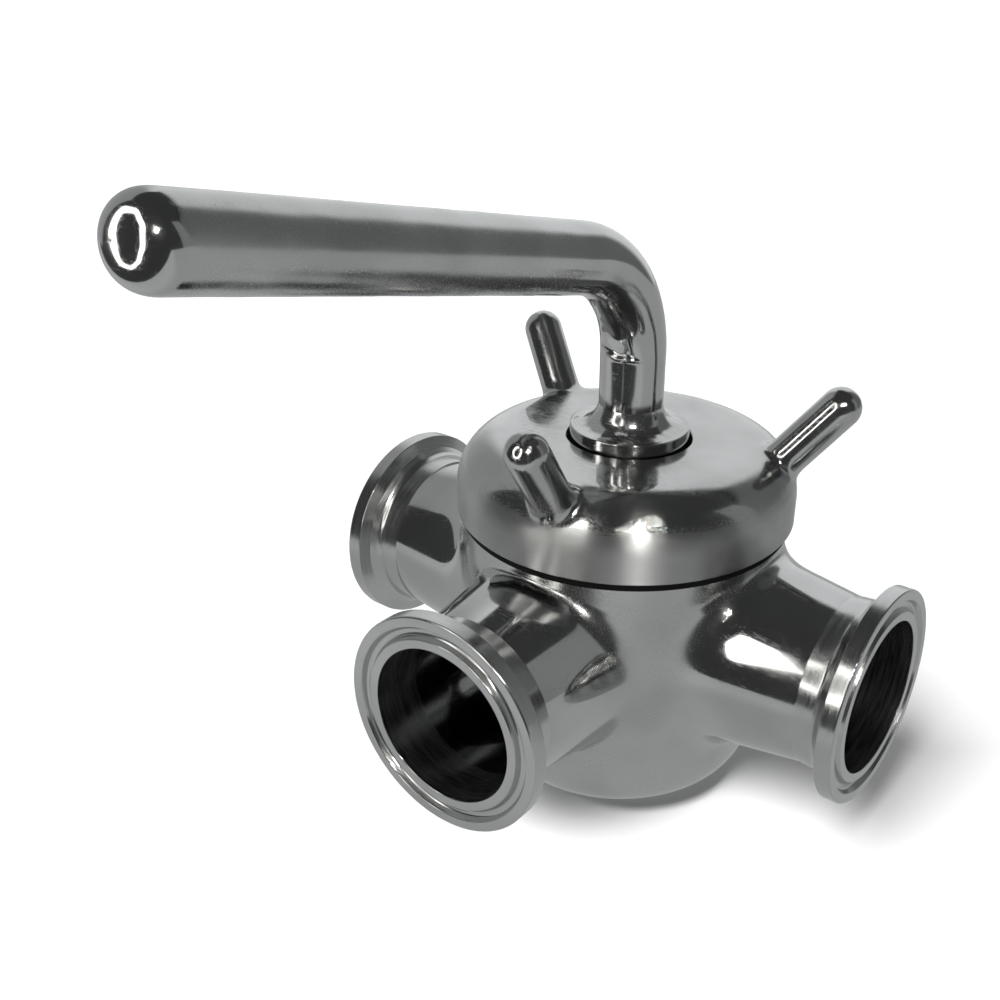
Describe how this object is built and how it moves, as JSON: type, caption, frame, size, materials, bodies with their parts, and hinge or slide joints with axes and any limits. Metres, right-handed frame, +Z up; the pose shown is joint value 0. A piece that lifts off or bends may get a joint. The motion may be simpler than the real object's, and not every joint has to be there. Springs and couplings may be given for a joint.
{
  "type": "three way plug valve",
  "caption": "Hygienic three way taper plug valve in polished stainless steel, with clamp ferrule ports, a screwed cap with welded pins and a bent bar handle.",
  "frame": {"origin": "centre of the body's flat underside, which the valve stands on, with the stem axis on Z", "axes": "+Z up along the stem, +X and -X out of the two run ports, -Y out of the branch port"},
  "size_m": [0.14, 0.164, 0.1581],
  "materials": {
    "body_steel": "buffed to a mirror with fine polishing lines",
    "turned_steel": "fine turned finish with concentric lines",
    "plug_steel": "ground and lapped",
    "polished_steel": "hand polished to a mirror over the welds",
    "cap_steel": "mirror top with a satin turned rim",
    "black_rubber": "matt black moulded rubber",
    "white_ptfe": "matt white with faint turning lines"
  },
  "bodies": {
    "housing": {"valve_body": "body_steel", "port_stub_right": "body_steel", "port_stub_left": "body_steel", "port_stub_front": "body_steel", "clamp_ferrule_right": "turned_steel", "clamp_ferrule_left": "turned_steel", "clamp_ferrule_front": "turned_steel", "cap_gasket": "black_rubber"},
    "plug": {"plug": "plug_steel", "plug_stem": "polished_steel", "plug_o_ring": "black_rubber", "thrust_washer": "white_ptfe", "leg_weld": "polished_steel", "handle_leg": "polished_steel", "handle_arm": "polished_steel", "handle_end_cap": "polished_steel"},
    "seal": {"stem_seal": "black_rubber"},
    "cap": {"cap_nut": "cap_steel", "cap_pin_1": "polished_steel", "cap_pin_2": "polished_steel", "cap_pin_3": "polished_steel"}
  },
  "joints": [
    {"name": "plug_turn", "type": "hinge", "parent": "housing", "child": "plug", "pos_m": [0, 0, 0.0405], "axis": [0, 0, 1], "continuous": true},
    {"name": "cap_lift", "type": "slide", "parent": "housing", "child": "seal", "axis": [0, 0, 1], "range_m": [0, 0.0066]},
    {"name": "cap_unscrew", "type": "hinge", "parent": "seal", "child": "cap", "pos_m": [0, 0, 0.07], "axis": [0, 0, 1], "range_deg": [0, 792]}
  ],
  "couplings": [
    {"joint": "cap_lift", "follows": "cap_unscrew", "m_per_rad": 0.00047746}
  ]
}
